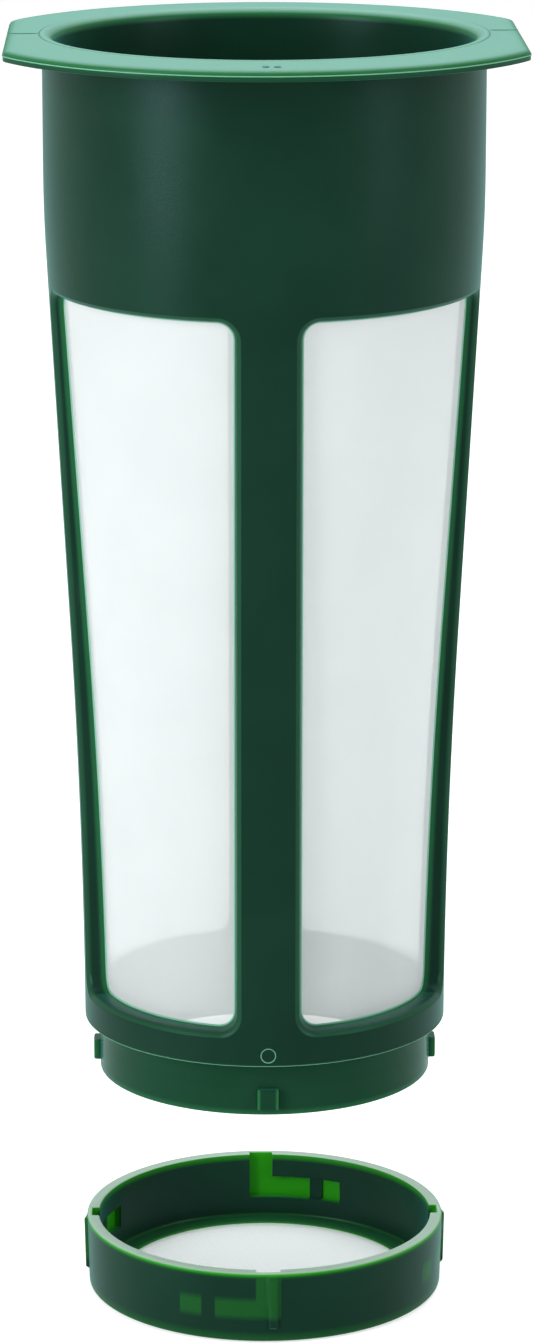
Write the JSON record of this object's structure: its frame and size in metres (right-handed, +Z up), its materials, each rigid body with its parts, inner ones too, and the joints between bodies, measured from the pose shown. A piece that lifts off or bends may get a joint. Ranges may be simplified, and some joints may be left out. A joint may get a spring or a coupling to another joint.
{
  "type": "cold brew coffee strainer",
  "caption": "Tall tapered plastic strainer basket with a hanging flange and mesh windows, and a twist-lock bottom cap with a mesh floor that lifts off for emptying.",
  "frame": {"origin": "on the basket's axis, at the underside of the hanging flange, which is where the strainer hangs in a jug's mouth", "axes": "+Z up along the basket's axis out of its mouth, +X towards the right-hand flat of the flange, -Y to the front"},
  "size_m": [0.084, 0.094, 0.215],
  "materials": {
    "frame_plastic": "satin moulded polypropylene, dark green, slightly translucent where thin",
    "cap_plastic": "satin moulded polypropylene, dark green, glowing green where thin",
    "filter_mesh": "fine plain-woven white nylon mesh"
  },
  "bodies": {
    "basket": {"rim_flange": "frame_plastic", "upper_sleeve": "frame_plastic", "strut_front": "frame_plastic", "strut_right": "frame_plastic", "strut_back": "frame_plastic", "strut_left": "frame_plastic", "lower_band": "frame_plastic", "bayonet_neck": "frame_plastic", "lug_front": "frame_plastic", "lug_right": "frame_plastic", "lug_back": "frame_plastic", "lug_left": "frame_plastic", "mesh_front_right": "filter_mesh", "mesh_back_right": "filter_mesh", "mesh_back_left": "filter_mesh", "mesh_front_left": "filter_mesh"},
    "cap_screen": {"cap_mesh": "filter_mesh"},
    "cap": {"cap_skirt": "cap_plastic", "cap_floor": "cap_plastic", "cap_rib_front": "cap_plastic", "cap_rib_right": "cap_plastic", "cap_rib_back": "cap_plastic", "cap_rib_left": "cap_plastic"}
  },
  "joints": [
    {"name": "cap_slide", "type": "slide", "parent": "basket", "child": "cap_screen", "axis": [0, 0, 1], "range_m": [0, 0.036]},
    {"name": "cap_twist", "type": "hinge", "parent": "cap_screen", "child": "cap", "pos_m": [0, 0, -0.2129], "axis": [0, 0, 1], "range_deg": [0, 25.3]}
  ]
}
